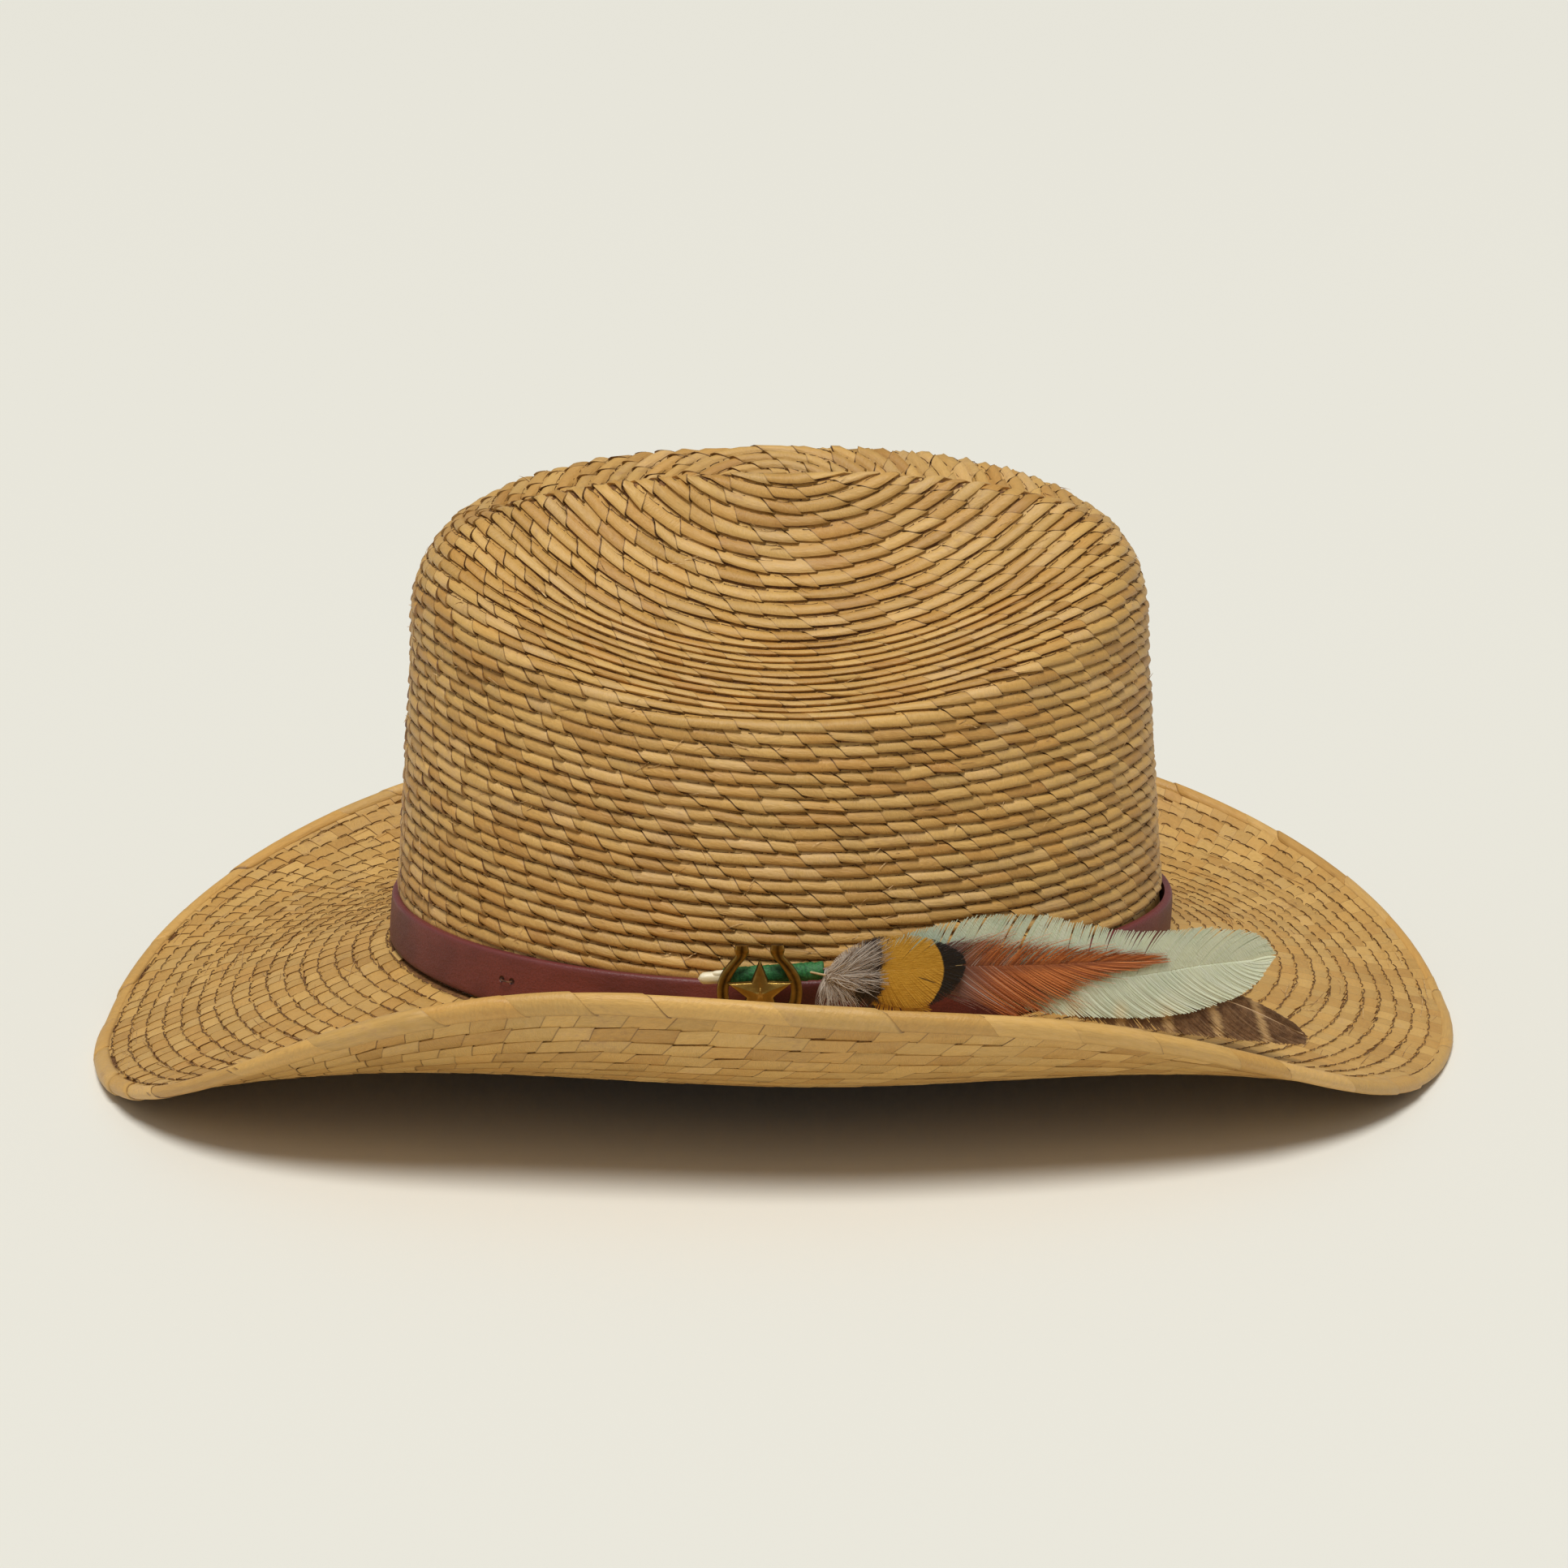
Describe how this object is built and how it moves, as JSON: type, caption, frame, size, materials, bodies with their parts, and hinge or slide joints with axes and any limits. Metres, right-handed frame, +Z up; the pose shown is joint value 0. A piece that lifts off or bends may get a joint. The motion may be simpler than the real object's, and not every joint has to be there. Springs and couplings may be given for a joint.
{
  "type": "western straw hat",
  "caption": "Plaited straw western hat with a dented crown, a brim rolled up at the sides, a leather hatband and sweatband, and a horseshoe pin that holds a bundle of feathers.",
  "frame": {"origin": "centre of the hat's footprint on the surface it rests on", "axes": "+Z up, -X towards the front of the hat, +X towards the back, -Y towards the wearer's left, where the pin is"},
  "size_m": [0.3625, 0.3061, 0.1523],
  "materials": {
    "crown_straw": "plaited palm leaf",
    "brim_straw": "plaited palm leaf",
    "edge_straw": "plaited palm leaf, folded",
    "wire_steel": "plain",
    "sweat_leather": "smooth",
    "reed_plastic": "matte",
    "bow_ribbon": "ribbon",
    "band_leather": "semi-matte, burnished edge",
    "tack_thread": "waxed thread",
    "pin_brass": "antiqued",
    "post_brass": "plated",
    "wrap_thread": "silky thread",
    "mint_feather": "feather",
    "barred_feather": "feather",
    "rust_feather": "feather",
    "gold_feather": "feather"
  },
  "bodies": {
    "hat": {"crown": "crown_straw", "brim": "brim_straw", "brim_edge": "edge_straw", "brim_wire": "wire_steel", "wire_ferrule": "wire_steel", "sweatband": "sweat_leather", "sweatband_reed": "reed_plastic", "sweatband_bow": "bow_ribbon", "hatband": "band_leather", "hatband_tack_1": "tack_thread", "hatband_tack_2": "tack_thread", "hatband_tack_3": "tack_thread", "hatband_tack_4": "tack_thread"},
    "trim": {"pin_horseshoe": "pin_brass", "pin_star": "pin_brass", "pin_post": "post_brass", "pin_clutch": "post_brass", "quill_wrap": "wrap_thread", "feather_mint": "mint_feather", "feather_barred": "barred_feather", "feather_rust": "rust_feather", "feather_gold": "gold_feather", "feather_gold_small": "gold_feather"}
  },
  "joints": [
    {"name": "trim_swivel", "type": "hinge", "parent": "hat", "child": "trim", "pos_m": [-0.0098, -0.09, 0.0284], "axis": [0, -1, 0], "range_deg": [0, 20]}
  ]
}
